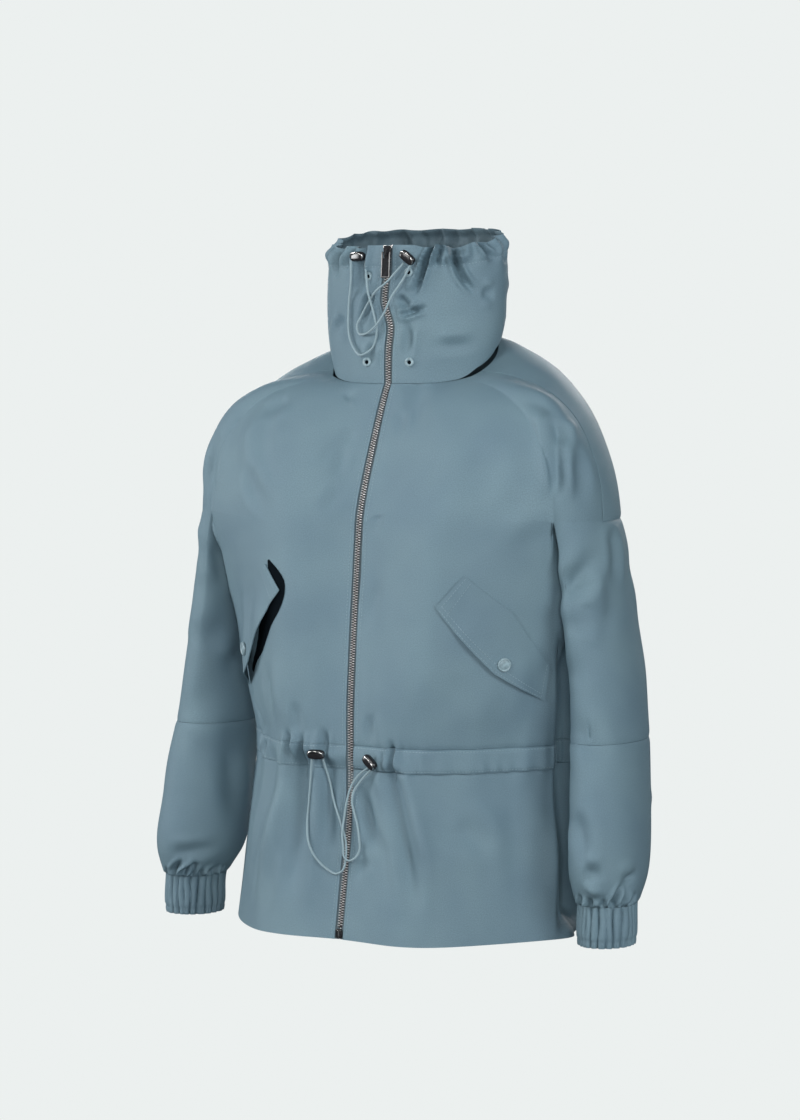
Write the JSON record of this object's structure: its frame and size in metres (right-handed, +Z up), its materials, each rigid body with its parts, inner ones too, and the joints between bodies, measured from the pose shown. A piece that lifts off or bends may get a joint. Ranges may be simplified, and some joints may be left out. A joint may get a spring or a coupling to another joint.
{
  "type": "parka",
  "caption": "Hip-length grey-blue parka with funnel collar, front zip, drawcord waist, slanted pocket flaps and gathered cuffs, hollow as worn",
  "frame": {"origin": "inside the neck, level with the shoulder points, midway between the sleeves; the wearer carries the parka there", "axes": "+Z up, the front faces -Y, +X towards the wearer's left sleeve"},
  "size_m": [0.5838, 0.2659, 0.754],
  "materials": {
    "shell_cloth": "matte",
    "zip_tape": "matte",
    "cord": "matte",
    "zip_metal": "satin",
    "pewter": "satin",
    "lock": "satin"
  },
  "bodies": {
    "garment": {"back": "shell_cloth", "collar": "shell_cloth", "collar_slot_welt": "shell_cloth", "cord_collar_left": "cord", "cord_collar_right": "cord", "cord_waist_left": "cord", "cord_waist_right": "cord", "cuff_left": "shell_cloth", "cuff_right": "shell_cloth", "eyelet_collar_lower_left": "pewter", "eyelet_collar_lower_right": "pewter", "eyelet_collar_upper_left": "pewter", "eyelet_collar_upper_right": "pewter", "front_left": "shell_cloth", "front_right": "shell_cloth", "lock_collar_left": "lock", "lock_collar_right": "lock", "lock_waist_left": "lock", "lock_waist_right": "lock", "pocket_flap_left": "shell_cloth", "pocket_flap_right": "shell_cloth", "skirt_back": "shell_cloth", "skirt_front_left": "shell_cloth", "skirt_front_right": "shell_cloth", "sleeve_lower_left": "shell_cloth", "sleeve_lower_right": "shell_cloth", "sleeve_upper_left": "shell_cloth", "sleeve_upper_right": "shell_cloth", "snap_left": "pewter", "snap_right": "pewter", "waist_casing_back": "shell_cloth", "waist_casing_left": "shell_cloth", "waist_casing_right": "shell_cloth", "zip_bottom_box": "zip_metal", "zip_chain": "zip_metal", "zip_slider": "zip_metal", "zip_tape_left": "zip_tape", "zip_tape_right": "zip_tape"},
    "pull_tab": {"zip_pull": "zip_metal"}
  },
  "joints": [
    {"name": "pull_tab_hinge", "type": "hinge", "parent": "garment", "child": "pull_tab", "pos_m": [-0.00029, -0.04235, 0.10034], "axis": [-1, 0, 0], "range_deg": [0, 165]}
  ]
}
